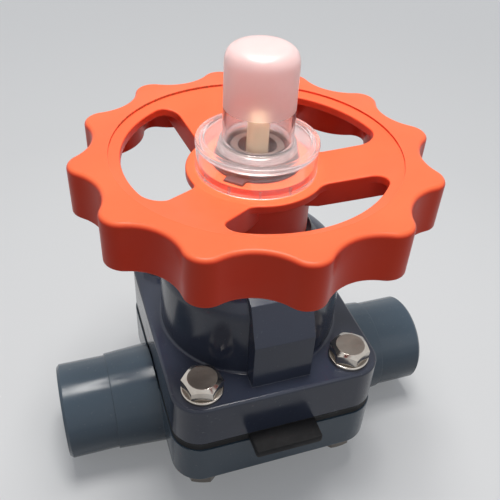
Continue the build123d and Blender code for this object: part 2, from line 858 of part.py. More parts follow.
os.makedirs("parts", exist_ok=True)
for name, shape in nodes.items():
    export_step(shape, f"parts/{name}.step")
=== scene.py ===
# %% [markdown]
# # A hand-operated diaphragm valve
# The valve is a plastic body with two plain pipe ends, a dark bonnet held on it by four steel bolts, a black rubber
# sheet clamped between the two, and a red handwheel with a clear cap over an ivory pin. The exact shapes come from
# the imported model. This script keeps them in place, gives each one its finish, and puts finer pieces where the
# plain solid leaves something out: threads, hexagon heads, the rubber sheet, the tab washer and the clear cap.

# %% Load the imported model
import math

import bmesh
import bpy
from mathutils import Matrix, Vector


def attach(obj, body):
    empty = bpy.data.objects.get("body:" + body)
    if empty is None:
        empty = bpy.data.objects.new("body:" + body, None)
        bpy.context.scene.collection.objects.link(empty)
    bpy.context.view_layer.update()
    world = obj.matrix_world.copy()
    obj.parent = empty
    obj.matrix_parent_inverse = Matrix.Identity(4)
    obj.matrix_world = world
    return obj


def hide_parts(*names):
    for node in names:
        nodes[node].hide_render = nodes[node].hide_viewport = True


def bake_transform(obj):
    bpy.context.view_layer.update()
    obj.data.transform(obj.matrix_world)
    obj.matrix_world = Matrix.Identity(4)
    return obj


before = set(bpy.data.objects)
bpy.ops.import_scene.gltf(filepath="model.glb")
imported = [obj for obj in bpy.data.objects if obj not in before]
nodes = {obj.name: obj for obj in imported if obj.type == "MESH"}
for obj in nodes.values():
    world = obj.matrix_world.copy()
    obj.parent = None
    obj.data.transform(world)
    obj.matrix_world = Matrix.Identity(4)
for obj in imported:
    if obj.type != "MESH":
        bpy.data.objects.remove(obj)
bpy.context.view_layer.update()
MM = 0.001

# %% [markdown]
# ## Camera
# A photograph fixes the camera by where known points fall in it: the two ends of the pipe, the bolts and the wheel.
# The camera stands in front of the valve, a little to the left, and looks down on it. Its place, its two angles, its
# slight tilt and its focal length in pixels are plain numbers, so the frame is built from three axes and not turned
# by eye.

# %% Camera
PHOTO_PIXELS = 500
FOCAL_PIXELS = 646.42
SENSOR_MM = 36.0
CAMERA_PLACE = Vector((-0.08689, -0.23159, 0.31787))
CAMERA_TURN, CAMERA_RISE, CAMERA_TILT = -0.3571, 0.6790, 0.0600


def camera_axes(turn, rise, tilt):
    """Right, up and backward axes of a camera that looks down on the origin from a turn and a rise."""
    back = Vector((math.sin(turn) * math.cos(rise), -math.cos(turn) * math.cos(rise), math.sin(rise)))
    right = (-back).cross(Vector((0, 0, 1))).normalized()
    down = (-back).cross(right)
    tilted_right = right * math.cos(tilt) - down * math.sin(tilt)
    tilted_down = right * math.sin(tilt) + down * math.cos(tilt)
    return tilted_right, -tilted_down, back


camera_data = bpy.data.cameras.new("photo_camera")
camera_data.sensor_width = SENSOR_MM
camera_data.lens = FOCAL_PIXELS / PHOTO_PIXELS * SENSOR_MM
camera_data.clip_start = 0.01
camera = bpy.data.objects.new("photo_camera", camera_data)
bpy.context.scene.collection.objects.link(camera)
axes = camera_axes(CAMERA_TURN, CAMERA_RISE, CAMERA_TILT)
camera.matrix_world = Matrix.Translation(CAMERA_PLACE) @ Matrix(axes).transposed().to_4x4()
bpy.context.scene.camera = camera
print("lens", round(camera_data.lens, 2), "mm")

# %% [markdown]
# ## Nodes for materials
# A material in Blender is a small graph. Writing it out node by node is long, so one helper adds a node and fills
# its sockets, and a second one links two nodes. Each finish below then reads as a short recipe.

# %% Helpers for material graphs


def new_material(name):
    """An empty material with a Principled shader joined to its output."""
    material = bpy.data.materials.new(name)
    material.use_nodes = True
    tree = material.node_tree
    shader = tree.nodes["Principled BSDF"]
    return material, tree, shader


def add(tree, kind, sockets=None, **settings):
    """Adds one node. sockets maps socket names to plain values or to other nodes' outputs."""
    made = tree.nodes.new(kind)
    for key, value in settings.items():
        setattr(made, key, value)
    for key, value in (sockets or {}).items():
        if isinstance(value, bpy.types.NodeSocket):
            tree.links.new(value, made.inputs[key])
        else:
            made.inputs[key].default_value = value
    return made


def place_of(tree):
    """The point on the object, in metres, which stays with the piece when it moves."""
    return add(tree, "ShaderNodeTexCoord").outputs["Object"]


def noise_of(tree, where, scale, detail=3.0, rough=0.5):
    """A cloudy share between 0 and 1. A larger scale makes smaller clouds."""
    sockets = {"Vector": where, "Scale": scale, "Detail": detail, "Roughness": rough}
    return add(tree, "ShaderNodeTexNoise", sockets).outputs["Fac"]


def between(tree, share, low, high, from_low=0.3, from_high=0.7):
    """Stretches a share that varies over the surface to a range of values."""
    sockets = {"Value": share, "From Min": from_low, "From Max": from_high, "To Min": low, "To Max": high}
    return add(tree, "ShaderNodeMapRange", sockets).outputs["Result"]


def calculate(tree, operation, *values):
    """One Math node, whose values are plain numbers or other nodes' outputs."""
    return add(tree, "ShaderNodeMath", dict(enumerate(values)), operation=operation).outputs[0]


def reach_of(tree, parts):
    """Distance from the spindle axis, from the separate parts of a place."""
    flat = add(tree, "ShaderNodeCombineXYZ", {"X": parts.outputs["X"], "Y": parts.outputs["Y"]})
    return add(tree, "ShaderNodeVectorMath", {0: flat.outputs[0]}, operation="LENGTH").outputs["Value"]


def upward(tree):
    """How much a face looks up: 1 for a level top, 0 for a side, -1 for an underside."""
    normal = add(tree, "ShaderNodeNewGeometry").outputs["Normal"]
    return add(tree, "ShaderNodeSeparateXYZ", {0: normal}).outputs["Z"]


def blend_colours(tree, share, first, second):
    """Mixes two colours by a share. Either may be a plain tone or another node's output."""
    mixer = add(tree, "ShaderNodeMix", {"Factor": share}, data_type="RGBA")
    for socket, value in ((mixer.inputs[6], first), (mixer.inputs[7], second)):
        if isinstance(value, bpy.types.NodeSocket):
            tree.links.new(value, socket)
        else:
            socket.default_value = (*value, 1.0)
    return mixer.outputs[2]


def edge_share(tree, radius):
    """How much the surface turns within a radius: 0 on a flat, near 1 on a sharp edge."""
    soft = add(tree, "ShaderNodeBevel", {"Radius": radius}, samples=4)
    plain = add(tree, "ShaderNodeNewGeometry")
    dot = add(tree, "ShaderNodeVectorMath", operation="DOT_PRODUCT")
    tree.links.new(soft.outputs["Normal"], dot.inputs[0])
    tree.links.new(plain.outputs["Normal"], dot.inputs[1])
    return between(tree, dot.outputs["Value"], 1.0, 0.0, 0.80, 0.995)


def paint_over(material, share, tone):
    """Mixes another tone over a finished material's colour, by a share."""
    tree = material.node_tree
    base = tree.nodes["Principled BSDF"].inputs["Base Color"]
    tree.links.new(blend_colours(tree, share, base.links[0].from_socket, tone), base)


def give(material, *names):
    """Puts one material on CAD nodes."""
    for name in names:
        nodes[name].data.materials.clear()
        nodes[name].data.materials.append(material)
    print(material.name, "on", ", ".join(names) or "new pieces")


# %% [markdown]
# ## Moulded plastic
# The body, the bonnet and the wheel are injection moulded. Such a surface is never one flat colour: the melt leaves
# soft clouds of a slightly different tone, the mould leaves a fine grain that breaks up the gloss, and edges are
# lighter, partly where hands and tools have polished them and partly as a painted highlight. The recipe has one part
# for each: two tones mixed by a wide noise, a bump from a fine noise, a gloss that wanders, and a lighter tone in
# patches where the surface turns sharply, which is part wear and part painted highlight. The body and the bonnet also
# get small specks of dust. The wheel gets a paler pair of tones on the faces that look up, which is painted light
# from the lamp above. The Bevel node rounds the light on edges that the CAD model leaves square, as a mould would.

# %% Recipe for moulded plastic
DUST_TONE = (0.42, 0.44, 0.45)
CLOUD_SCALE, GRAIN_SCALE, GLOSS_SCALE, EDGE_PATCH_SCALE, DUST_SCALE = 28.0, 1900.0, 70.0, 160.0, 520.0
PALE_FROM, PALE_FULL = 0.35, 0.85


def moulded(
    name, tone, cloud_tone, worn_edge_highlight_tone, gloss, grain_depth, edge_radius=0.5 * MM, mirror=0.5, dust=0.0, painted_top_light=None
):
    """Moulded plastic: gloss is the range of roughness, grain_depth the height of the mould's grain.

    painted_top_light is a pair of paler tones for the faces that look up: painted light from above.
    """
    material, tree, shader = new_material(name)
    where = place_of(tree)
    clouds = noise_of(tree, where, CLOUD_SCALE, 4.0)
    grain = noise_of(tree, where, GRAIN_SCALE, 2.0, 0.6)
    waves = noise_of(tree, where, GLOSS_SCALE, 1.0)
    colour = blend_colours(tree, between(tree, clouds, 0.0, 1.0), tone, cloud_tone)
    # Paler tones on faces that look up: painted light from the lamp above.
    if painted_top_light:
        pale = blend_colours(tree, between(tree, clouds, 0.0, 1.0), *painted_top_light)
        colour = blend_colours(tree, between(tree, upward(tree), 0.0, 1.0, PALE_FROM, PALE_FULL), colour, pale)
    # Lighter edges where the surface turns: part wear, part painted highlight.
    patchy_edges = between(tree, noise_of(tree, where, EDGE_PATCH_SCALE), 0.15, 0.75)
    edge_wear_and_highlight = calculate(tree, "MULTIPLY", edge_share(tree, edge_radius), patchy_edges)
    colour = blend_colours(tree, edge_wear_and_highlight, colour, worn_edge_highlight_tone)
    if dust:
        specks = between(tree, noise_of(tree, where, DUST_SCALE, 5.0, 0.75), 0.0, dust, 0.63, 0.75)
        colour = blend_colours(tree, specks, colour, DUST_TONE)
    tree.links.new(colour, shader.inputs["Base Color"])
    tree.links.new(between(tree, waves, *gloss), shader.inputs["Roughness"])
    soft = add(tree, "ShaderNodeBevel", {"Radius": edge_radius}, samples=6)
    height = add(tree, "ShaderNodeBump", {"Height": grain, "Distance": grain_depth, "Strength": 0.5})
    tree.links.new(soft.outputs["Normal"], height.inputs["Normal"])
    tree.links.new(height.outputs["Normal"], shader.inputs["Normal"])
    shader.inputs["Specular IOR Level"].default_value = mirror
    return material


body_plastic = moulded(
    "grey_blue_plastic", (0.056, 0.088, 0.122), (0.067, 0.101, 0.138), (0.14, 0.19, 0.24), (0.15, 0.24), 0.03 * MM,
    mirror=0.40, dust=0.4,
)
bonnet_plastic = moulded(
    "slate_plastic", (0.043, 0.052, 0.082), (0.052, 0.062, 0.097), (0.14, 0.15, 0.19), (0.14, 0.22), 0.02 * MM,
    mirror=0.38, dust=0.3,
)
# The paler tones on the wheel's upward faces are painted light.
wheel_plastic = moulded(
    "red_orange_plastic", (0.96, 0.064, 0.026), (0.98, 0.082, 0.032), (1.0, 0.22, 0.10), (0.30, 0.42), 0.02 * MM,
    mirror=0.20, painted_top_light=((0.92, 0.150, 0.055), (0.94, 0.170, 0.063)),
)
give(body_plastic, "valve_body")
give(bonnet_plastic, "bonnet")
give(wheel_plastic, "handwheel")

# %% Scuffed line on the rim's step
STEP_RADIUS, SCUFF_WIDTH = 64.1 * MM, 0.36 * MM
SCUFF_FROM, SCUFF_TO = math.radians(88), math.radians(150)
SCUFF_LOW, SCUFF_FULL = 0.1748, 0.1752


def scuff(material, tone):
    """A rough brown line along part of the step inside the rim, at the rear of the wheel."""
    tree = material.node_tree
    where = place_of(tree)
    parts = add(tree, "ShaderNodeSeparateXYZ", {0: where})
    off = calculate(tree, "COMPARE", reach_of(tree, parts), STEP_RADIUS, SCUFF_WIDTH)
    turn = calculate(tree, "ARCTAN2", parts.outputs["Y"], parts.outputs["X"])
    near = calculate(tree, "COMPARE", turn, (SCUFF_FROM + SCUFF_TO) / 2, (SCUFF_TO - SCUFF_FROM) / 2)
    high = between(tree, parts.outputs["Z"], 0.0, 1.0, SCUFF_LOW, SCUFF_FULL)
    patchy = between(tree, noise_of(tree, where, 700.0, 3.0, 0.7), 0.0, 1.0, 0.42, 0.58)
    share = calculate(tree, "MULTIPLY", off, near)
    share = calculate(tree, "MULTIPLY", share, high)
    share = calculate(tree, "MULTIPLY", share, patchy)
    paint_over(material, share, tone)


scuff(wheel_plastic, (0.60, 0.105, 0.040))

# %% [markdown]
# ## Steel, brass and the bright ring
# The bolts are stainless steel: their tops are duller, and faces that look up or down get a darker brown tone, which
# is a painted reflection, while the flats that a spanner touches stay bright. So the colour and the gloss of this
# steel depend on which way a face looks, plus a noise for handling marks. The lock ring is turned on a lathe, and its
# tool marks are fine circles about its axis, which a ring-shaped wave makes. The ring's foot and the steel under the
# lower flange get a darker tone below a height, which is painted shade. Brass is the same recipe in another tone.

# %% Recipe for metals
STAIN_SCALE, HANDLING_SCALE, MARK_SCALE = 120.0, 420.0, 900.0
RING_SHADE_PAINTED_BELOW, NUTS_SHADE_PAINTED_BELOW = 176.0 * MM, 30.0 * MM


def metal(name, tone, stain_tone, gloss, top_gloss=None, painted_reflection_tone=None, turned_marks=0.0):
    """Bare metal. turned_marks is the depth of lathe circles.

    top_gloss and painted_reflection_tone are for faces that look up or down; that tone is a painted reflection.
    """
    material, tree, shader = new_material(name)
    where = place_of(tree)
    stains = noise_of(tree, where, STAIN_SCALE, 5.0, 0.6)
    colour = blend_colours(tree, between(tree, stains, 0.0, 1.0), tone, stain_tone)
    shader.inputs["Metallic"].default_value = 1.0
    roughness = between(tree, noise_of(tree, where, HANDLING_SCALE, 4.0), *gloss)
    if top_gloss:
        level = calculate(tree, "ABSOLUTE", upward(tree))
        # Darker brown on level faces: a painted reflection.
        colour = blend_colours(tree, between(tree, level, 0.0, 0.8, 0.97, 0.995), colour, painted_reflection_tone)
        roughness = calculate(tree, "ADD", roughness, between(tree, level, 0.0, top_gloss, 0.9, 0.99))
    tree.links.new(colour, shader.inputs["Base Color"])
    tree.links.new(roughness, shader.inputs["Roughness"])
    marks = noise_of(tree, where, MARK_SCALE, 3.0)
    if turned_marks:
        rings = {"Vector": where, "Scale": MARK_SCALE, "Distortion": 0.4, "Detail": 1.0}
        marks = add(
            tree, "ShaderNodeTexWave", rings, wave_type="RINGS", rings_direction="Z", bands_direction="Z"
        ).outputs["Fac"]
    height = add(tree, "ShaderNodeBump", {"Height": marks, "Distance": turned_marks or 0.01 * MM, "Strength": 0.4})
    soft = add(tree, "ShaderNodeBevel", {"Radius": 0.2 * MM}, samples=4)
    tree.links.new(soft.outputs["Normal"], height.inputs["Normal"])
    tree.links.new(height.outputs["Normal"], shader.inputs["Normal"])
    return material


def paint_shade_below(material, height, tone):
    """Paints shade on a metal: another, darker tone below a height."""
    tree = material.node_tree
    parts = add(tree, "ShaderNodeSeparateXYZ", {0: place_of(tree)})
    paint_over(material, calculate(tree, "LESS_THAN", parts.outputs["Z"], height), tone)


stainless = metal(
    "stainless_steel", (0.60, 0.56, 0.51), (0.46, 0.41, 0.36), (0.10, 0.22),
    top_gloss=0.26, painted_reflection_tone=(0.20, 0.175, 0.15),
)
bright_ring = metal(
    "turned_bright_ring", (0.64, 0.63, 0.61), (0.54, 0.53, 0.51), (0.14, 0.24), turned_marks=0.02 * MM
)
dark_steel = metal("phosphated_steel", (0.10, 0.075, 0.090), (0.07, 0.05, 0.06), (0.35, 0.50))
brass = metal("machined_brass", (0.70, 0.50, 0.22), (0.58, 0.40, 0.17), (0.18, 0.30), turned_marks=0.02 * MM)
give(stainless, "bonnet_bolts", "bolt_washers", "nut_washers", "body_nuts")
give(stainless, "stem_bush", "spindle", "compressor_pin", "diaphragm_stud")
# Painted shade: the ring's foot and the steel under the lower flange are darker below a height.
paint_shade_below(bright_ring, RING_SHADE_PAINTED_BELOW, (0.06, 0.045, 0.055))
paint_shade_below(stainless, NUTS_SHADE_PAINTED_BELOW, (0.20, 0.18, 0.16))
give(bright_ring, "lock_ring")
give(dark_steel, "lock_washer")
give(brass, "mounting_inserts")

# %% [markdown]
# ## Rubber and the soft plastics
# Rubber is almost black, but it is never pure black: a little dust greys it, and it has a soft sheen at grazing
# angles. The pin, the bearing washers and the compressor are plain mouldings, so they reuse the moulded recipe.

# %% Rubber, ivory and bearing plastics


def rubber(name, tone, dust_tone):
    """Rubber: almost black, greyed in patches by dust."""
    material, tree, shader = new_material(name)
    where = place_of(tree)
    dust = between(tree, noise_of(tree, where, 260.0, 5.0, 0.65), 0.0, 0.6, 0.5, 0.75)
    tree.links.new(blend_colours(tree, dust, tone, dust_tone), shader.inputs["Base Color"])
    tree.links.new(between(tree, noise_of(tree, where, 90.0), 0.50, 0.68), shader.inputs["Roughness"])
    height = add(
        tree, "ShaderNodeBump",
        {"Height": noise_of(tree, where, 1500.0, 3.0, 0.7), "Distance": 0.03 * MM, "Strength": 0.6},
    )
    tree.links.new(height.outputs["Normal"], shader.inputs["Normal"])
    shader.inputs["Specular IOR Level"].default_value = 0.22
    shader.inputs["Sheen Weight"].default_value = 0.02
    shader.inputs["Sheen Roughness"].default_value = 0.4
    return material


membrane_rubber = rubber("membrane_rubber", (0.008, 0.008, 0.009), (0.020, 0.020, 0.021))
seal_rubber = rubber("seal_rubber", (0.014, 0.014, 0.014), (0.03, 0.03, 0.03))
ivory_plastic = moulded(
    "ivory_plastic", (0.86, 0.80, 0.53), (0.89, 0.83, 0.58), (0.92, 0.87, 0.66), (0.34, 0.46), 0.01 * MM, 0.2 * MM
)
bearing_plastic = moulded(
    "bearing_plastic", (0.62, 0.60, 0.54), (0.68, 0.66, 0.60), (0.76, 0.74, 0.68), (0.40, 0.55), 0.02 * MM, 0.2 * MM
)
compressor_plastic = moulded(
    "compressor_plastic", (0.020, 0.021, 0.024), (0.028, 0.029, 0.033), (0.08, 0.08, 0.09), (0.35, 0.50), 0.03 * MM
)
give(membrane_rubber, "diaphragm")
give(seal_rubber, "bush_seal")
give(ivory_plastic, "position_indicator")
give(bearing_plastic, "upper_thrust_washer", "lower_thrust_washer")
give(compressor_plastic, "compressor")

# %% [markdown]
# ## Clear plastic
# The cap is moulded in clear plastic that is a little milky: its dome is frosted so that the pin behind it only
# glows, the rim of its shoulder is milky too, and the skirt and the foot of the dome are nearly clear. Clear plastic
# in a path tracer needs a closed wall with a true thickness, which the cap has. Its gloss changes with the height and
# with the distance from the axis, and a small share of plain pale pink makes the haze. The pink in both tones of the
# cap is painted light, the red glow that the wheel throws into it. The cap throws no shadow, because light that
# passes through such a wall would otherwise be lost inside.

# %% Clear, slightly frosted plastic
FROST_LOW, FROST_HIGH = 0.1950, 0.1962
SKIRT_FROM, SKIRT_FULL = 22.6 * MM, 24.2 * MM
SIDE_HAZE, RIM_HAZE, RIM_FROM, RIM_FULL = 0.08, 0.38, 178.4 * MM, 179.0 * MM
CLEAR_GLOSS, FROST_GLOSS = (0.06, 0.12), (0.34, 0.44)
CLEAR_PASSES, FROST_PASSES = 0.92, 0.76
PLASTIC_IOR = 1.49


def clear_plastic(name):
    """Clear plastic whose frost depends on the height and on the distance from the axis."""
    material, tree, shader = new_material(name)
    where = place_of(tree)
    parts = add(tree, "ShaderNodeSeparateXYZ", {0: where})
    outside = between(tree, reach_of(tree, parts), 0.0, 1.0, SKIRT_FROM, SKIRT_FULL)
    milk = between(tree, parts.outputs["Z"], SIDE_HAZE, RIM_HAZE, RIM_FROM, RIM_FULL)
    haze = calculate(tree, "MULTIPLY", outside, milk)
    dome_frost = between(tree, parts.outputs["Z"], 0.0, 1.0, FROST_LOW, FROST_HIGH)
    frost = calculate(tree, "MAXIMUM", dome_frost, haze)
    streaks = noise_of(tree, where, 60.0, 4.0)
    clear_gloss = between(tree, streaks, *CLEAR_GLOSS)
    frost_gloss = between(tree, streaks, *FROST_GLOSS)
    gloss = add(tree, "ShaderNodeMix", {"Factor": frost, 2: clear_gloss, 3: frost_gloss})
    tree.links.new(gloss.outputs[0], shader.inputs["Roughness"])
    passes = between(tree, frost, CLEAR_PASSES, FROST_PASSES, 0.0, 1.0)
    tree.links.new(passes, shader.inputs["Transmission Weight"])
    # The pink in these tones is painted light: the red glow of the wheel.
    clear_tone_with_painted_glow = blend_colours(tree, streaks, (0.95, 0.87, 0.87), (0.92, 0.81, 0.81))
    frost_tone_with_painted_glow = blend_colours(tree, streaks, (1.0, 0.85, 0.84), (1.0, 0.79, 0.78))
    tree.links.new(blend_colours(tree, frost, clear_tone_with_painted_glow, frost_tone_with_painted_glow), shader.inputs["Base Color"])
    shader.inputs["IOR"].default_value = PLASTIC_IOR
    return material


cap_plastic = clear_plastic("clear_cap_plastic")
give(cap_plastic, "indicator_cap")
nodes["indicator_cap"].visible_shadow = False

# %% [markdown]
# ## Round pieces from rings
# A turned or threaded piece is a stack of rings: each ring is the same number of points around an axis, and
# neighbouring rings are joined with four-sided faces. Blender's Screw modifier would also turn a profile, but rings
# in code can change their radius with the angle, which gives hexagons, threads and a tab with one helper.

# %% Helper that joins rings


def piece_from_rings(name, shells, material, sharp_degrees=32.0):
    """One object from shells. Each shell is (rings, closed): closed joins the last ring to the first."""
    mesh = bmesh.new()
    for rings, closed in shells:
        rows = [[mesh.verts.new([v * MM for v in point]) for point in ring] for ring in rings]
        count = len(rows[0])
        pairs = list(zip(rows, rows[1:])) + ([(rows[-1], rows[0])] if closed else [])
        for low, high in pairs:
            for k in range(count):
                mesh.faces.new((low[k], low[(k + 1) % count], high[(k + 1) % count], high[k]))
        if not closed:
            mesh.faces.new(list(reversed(rows[0])))
            mesh.faces.new(rows[-1])
    bmesh.ops.recalc_face_normals(mesh, faces=mesh.faces)
    data = bpy.data.meshes.new(name)
    mesh.to_mesh(data)
    mesh.free()
    for face in data.polygons:
        face.use_smooth = True
    data.set_sharp_from_angle(angle=math.radians(sharp_degrees))
    data.materials.append(material)
    made = bpy.data.objects.new(name, data)
    bpy.context.scene.collection.objects.link(made)
    print(name, len(data.polygons), "faces")
    return made


def ring_at(radius, height, count, centre=(0.0, 0.0), turn=0.0):
    """One ring of points. radius and height may be numbers or functions of the angle."""
    points = []
    for k in range(count):
        angle = 2 * math.pi * k / count
        reach = radius(angle) if callable(radius) else radius
        z = height(angle) if callable(height) else height
        points.append((
            centre[0] + reach * math.cos(angle + turn), centre[1] + reach * math.sin(angle + turn), z
        ))
    return points


def soften(corners, radius, steps=4, closed=True):
    """Rounds the corners of a (radius, height) outline. radius is one number or one for each corner."""
    rounded, count = [], len(corners)
    radii = radius if isinstance(radius, (list, tuple)) else [radius] * count
    for k, corner in enumerate(corners):
        if radii[k] == 0 or (not closed and k in (0, count - 1)):
            rounded.append(corner)
            continue
        here = Vector(corner)
        before, after = Vector(corners[k - 1]) - here, Vector(corners[(k + 1) % count]) - here
        cut = min(radii[k], 0.49 * before.length, 0.49 * after.length)
        start, end = here + before.normalized() * cut, here + after.normalized() * cut
        for step in range(steps + 1):
            t = step / steps
            rounded.append(tuple(start.lerp(here, t).lerp(here.lerp(end, t), t)))
    return rounded


def turned(name, outline, material, count=96, closed=True):
    """A turned piece from a (radius, height) outline about the spindle axis."""
    return piece_from_rings(name, [([ring_at(r, z, count) for r, z in outline], closed)], material)


# %% [markdown]
# ## Bolts, nuts and washers
# The bonnet is held by four M10 hexagon bolts. A hexagon head is a circle whose radius swells towards six corners,
# and its top is turned off by a shallow cone, which leaves the curved edges that catch the light. The thread is
# cut the same way: the radius follows a zigzag that climbs by one pitch in each turn. On the real valve each head
# stops where it was tightened, so each bolt has its own turn.

# %% Sizes of the fasteners
BOLT_X, BOLT_Y = 37.1, 46.2
BOLT_RADIUS, THREAD_PITCH, THREAD_DEPTH = 5.0, 1.5, 0.85
FLATS = 17.0
HEAD_WASHER_LOW, HEAD_LOW, HEAD_TOP = 79.4, 81.4, 87.8
BOLT_END, THREAD_TOP = 9.6, 24.0
NUT_LOW, NUT_TOP, NUT_WASHER_TOP = 15.2, 23.2, 25.2
HOLE_RADIUS, STAMPED_RADIUS = 5.3, 10.0
CHAMFER_SLOPE = math.tan(math.radians(30))
BOLT_TURNS = {(-1, -1): -15.0, (1, -1): -34.0, (-1, 1): 8.0, (1, 1): 21.0}


def hexagon_reach(angle):
    """Distance from the middle of a hexagon to its side."""
    from_flat = (angle % (math.pi / 3)) - math.pi / 6
    return FLATS / 2 / math.cos(from_flat)


def thread_radius(outer, depth, pitch, height, hand=1, crest=0.18):
    """Radius of a thread at a height, as a function of the angle. hand is -1 for a left-hand thread."""
    def radius(angle):
        phase = (height / pitch - hand * angle / (2 * math.pi)) % 1.0
        rise = 1 - abs(2 * phase - 1)
        return outer - depth * (1 - min(1.0, rise / (1 - crest)))
    return radius


# %% Hexagon bolts


def bolt_rings(centre, turn):
    """Rings of one bolt, from the middle of its top down to its end."""
    count, flat_top = 60, 0.41 * FLATS

    def side_top(angle):
        return HEAD_TOP - (hexagon_reach(angle) - flat_top) * CHAMFER_SLOPE

    def ring(radius, height):
        return ring_at(radius, height, count, centre, turn)

    rings = [
        ring(0.6, HEAD_TOP - 0.22), ring(0.70 * flat_top, HEAD_TOP - 0.18), ring(0.86 * flat_top, HEAD_TOP),
        ring(flat_top, HEAD_TOP), ring(hexagon_reach, side_top), ring(hexagon_reach, HEAD_LOW + 0.45),
        ring(lambda a: hexagon_reach(a) - 0.35, HEAD_LOW), ring(BOLT_RADIUS, HEAD_LOW),
        ring(BOLT_RADIUS, THREAD_TOP),
    ]
    steps = int((THREAD_TOP - BOLT_END) / THREAD_PITCH * 6)
    for step in range(1, steps):
        z = THREAD_TOP - step * THREAD_PITCH / 6
        fade = min(1.0, step / 6, (z - BOLT_END) / 1.0 + 0.2)
        outer = BOLT_RADIUS - max(0.0, 1.0 - (z - BOLT_END)) * 0.8
        rings.append(ring(thread_radius(outer, THREAD_DEPTH * fade, THREAD_PITCH, z), z))
    rings += [ring(BOLT_RADIUS - 1.0, BOLT_END), ring(0.6, BOLT_END)]
    return rings


bolt_shells = []
for (side_x, side_y), turn in BOLT_TURNS.items():
    place = (side_x * BOLT_X, side_y * BOLT_Y)
    bolt_shells.append((bolt_rings(place, math.radians(turn)), False))
hex_bolts = piece_from_rings("hex_bolts", bolt_shells, stainless, 24.0)
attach(hex_bolts, "valve_housing")
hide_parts("bonnet_bolts")

# %% Nuts


def nut_rings(centre, turn):
    """Rings of one nut with a cone at each end, from its bore round to its bore."""
    count, flat_end = 60, 0.475 * FLATS
    middle = (NUT_LOW + NUT_TOP) / 2

    def side_end(sign):
        end = NUT_TOP if sign > 0 else NUT_LOW
        return lambda angle: end - sign * (hexagon_reach(angle) - flat_end) * CHAMFER_SLOPE

    def ring(radius, height):
        return ring_at(radius, height, count, centre, turn)

    bore = BOLT_RADIUS + 0.05
    return [
        ring(bore, NUT_LOW + 0.9), ring(bore + 0.8, NUT_LOW), ring(flat_end, NUT_LOW),
        ring(hexagon_reach, side_end(-1)), ring(hexagon_reach, middle), ring(hexagon_reach, side_end(1)),
        ring(flat_end, NUT_TOP), ring(bore + 0.8, NUT_TOP), ring(bore, NUT_TOP - 0.9),
    ]


nut_shells = []
for (side_x, side_y), turn in BOLT_TURNS.items():
    place = (side_x * BOLT_X, side_y * BOLT_Y)
    nut_shells.append((nut_rings(place, math.radians(2 * turn + 11)), True))
hex_nuts = piece_from_rings("hex_nuts", nut_shells, stainless, 24.0)
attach(hex_nuts, "valve_housing")
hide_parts("body_nuts")

# %% Washers under the heads and the nuts


def washers(name, low, high, node):
    """Four stamped washers: the upper edge is rolled over by the press, the lower one has a small burr."""
    outline = soften(
        [
            (HOLE_RADIUS, low), (STAMPED_RADIUS - 0.04, low), (STAMPED_RADIUS, low + 0.2), (STAMPED_RADIUS, high),
            (HOLE_RADIUS, high),
        ],
        [0.15, 0.05, 0.05, 0.7, 0.4],
    )
    shells = []
    for side_x, side_y in BOLT_TURNS:
        place = (side_x * BOLT_X, side_y * BOLT_Y)
        shells.append(([ring_at(r, z, 64, place) for r, z in outline], True))
    made = piece_from_rings(name, shells, stainless)
    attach(made, "valve_housing")
    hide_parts(node)


washers("stamped_head_washers", HEAD_WASHER_LOW, HEAD_LOW, "bolt_washers")
washers("stamped_nut_washers", NUT_TOP, NUT_WASHER_TOP, "nut_washers")

# %% [markdown]
# ## Spindle, bush inserts and indicator
# The spindle has a trapezoidal thread with a left-hand lead, so that turning the wheel clockwise presses the sheet
# down. It is the same ring helper with a flatter, deeper zigzag. The two brass inserts in the foot have a tapped
# hole: there the thread cuts outward from the hole. The ivory pin is a plain turned form with a soft top and a small
# dimple where it was moulded.

# %% Spindle with its thread
SPINDLE_LOW, SPINDLE_TOP, SPINDLE_RADIUS = 83.3, 143.3, 8.0
LEAD, LEAD_DEPTH = 4.0, 1.9
END_RADIUS, END_LENGTH = 6.0, 20.0
PIN_HOLE_RADIUS, PIN_HOLE_DEPTH = 3.05, 9.0

spindle_count = 48
spindle_rings = [
    ring_at(0.6, SPINDLE_LOW - END_LENGTH, spindle_count),
    ring_at(END_RADIUS - 0.6, SPINDLE_LOW - END_LENGTH, spindle_count),
    ring_at(END_RADIUS, SPINDLE_LOW - END_LENGTH + 0.6, spindle_count),
    ring_at(END_RADIUS, SPINDLE_LOW, spindle_count),
]
thread_steps = int((SPINDLE_TOP - SPINDLE_LOW) / LEAD * 12)
for step in range(thread_steps + 1):
    z = SPINDLE_LOW + step * LEAD / 12
    ends = min(1.0, (z - SPINDLE_LOW) / 2 + 0.3, (SPINDLE_TOP - z) / 2 + 0.3)
    outer = SPINDLE_RADIUS - (1 - ends) * 1.2
    groove = thread_radius(outer, LEAD_DEPTH * 1.3, LEAD, z, hand=-1, crest=0.35)
    spindle_rings.append(ring_at(lambda a: max(groove(a), outer - LEAD_DEPTH * ends), z, spindle_count))
spindle_rings += [ring_at(PIN_HOLE_RADIUS, SPINDLE_TOP - depth, spindle_count) for depth in (0.0, PIN_HOLE_DEPTH)]
threaded_spindle = piece_from_rings("threaded_spindle", [(spindle_rings, False)], stainless, 28.0)
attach(threaded_spindle, "spindle_group")
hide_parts("spindle")

# %% Tapped inserts in the foot
INSERT_Y, INSERT_RADIUS, INSERT_BORE, INSERT_DEPTH, INSERT_PITCH = 22.25, 6.0, 4.0, 13.0, 1.25
TAP_END, TAP_FADES, BORE_END, TAP_DEPTH = 11.0, 11.3, 11.4, 0.65


